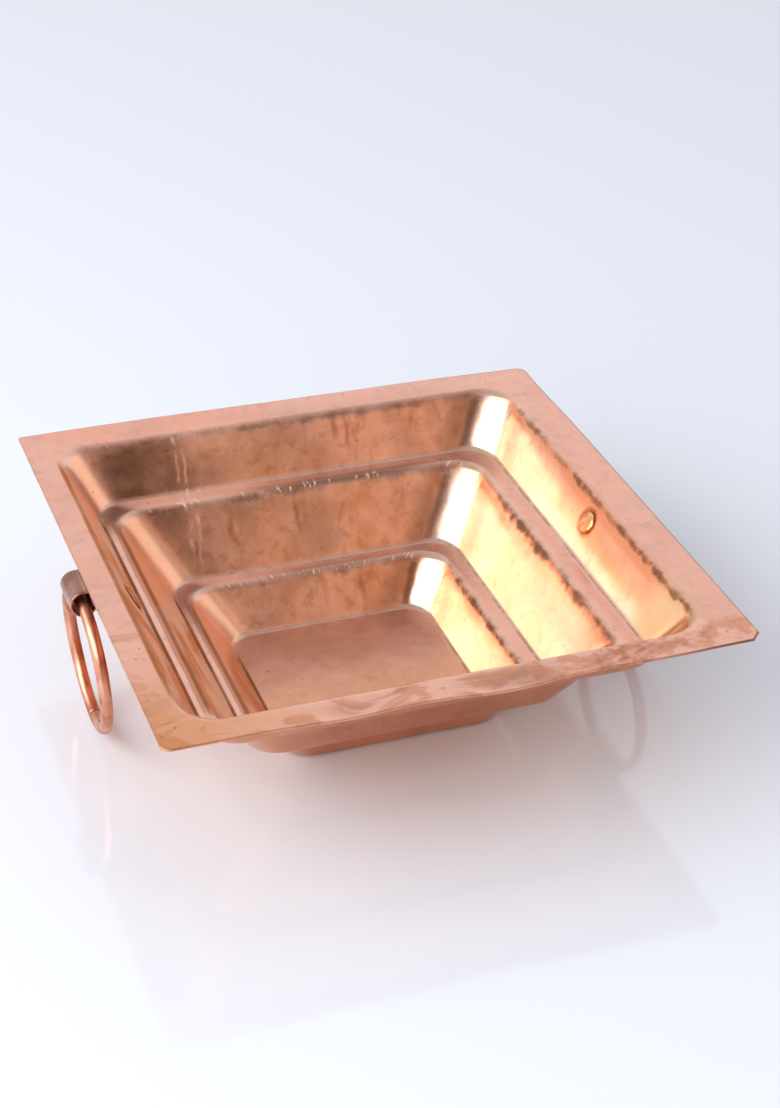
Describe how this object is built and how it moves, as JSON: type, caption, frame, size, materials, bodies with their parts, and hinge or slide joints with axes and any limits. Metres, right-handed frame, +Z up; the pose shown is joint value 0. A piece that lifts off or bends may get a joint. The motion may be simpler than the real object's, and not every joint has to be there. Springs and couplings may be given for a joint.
{
  "type": "hawan kund",
  "caption": "Square stepped fire pan pressed from copper sheet, with a flat flange and wire ring handles hung in riveted, rolled straps.",
  "frame": {"origin": "middle of the flange's width on the plane of the base underside, where the pan stands on a table", "axes": "+Z up, +X along the line through the two ring handles, +Y along the flange sides that carry them"},
  "size_m": [0.1587, 0.152, 0.046],
  "materials": {
    "pan_copper": "bare copper, satin on the flange and ledges, polished on the walls",
    "strap_copper": "bare copper, polished and slightly browned",
    "rivet_copper": "bare copper, hammered",
    "ring_copper": "bare copper wire, polished"
  },
  "bodies": {
    "kund": {"kund_pan": "pan_copper", "ring_strap_left": "strap_copper", "ring_strap_right": "strap_copper", "rivet_left": "rivet_copper", "rivet_right": "rivet_copper"},
    "left_ring": {"ring_handle_left": "ring_copper"},
    "right_ring": {"ring_handle_right": "ring_copper"}
  },
  "joints": [
    {"name": "left_ring_swing", "type": "hinge", "parent": "kund", "child": "left_ring", "pos_m": [-0.077, 0, 0.04141], "axis": [0, 1, 0], "range_deg": [-44, 168]},
    {"name": "right_ring_swing", "type": "hinge", "parent": "kund", "child": "right_ring", "pos_m": [0.0745, -0.0035, 0.04141], "axis": [0, -1, 0], "range_deg": [-48, 131]}
  ]
}
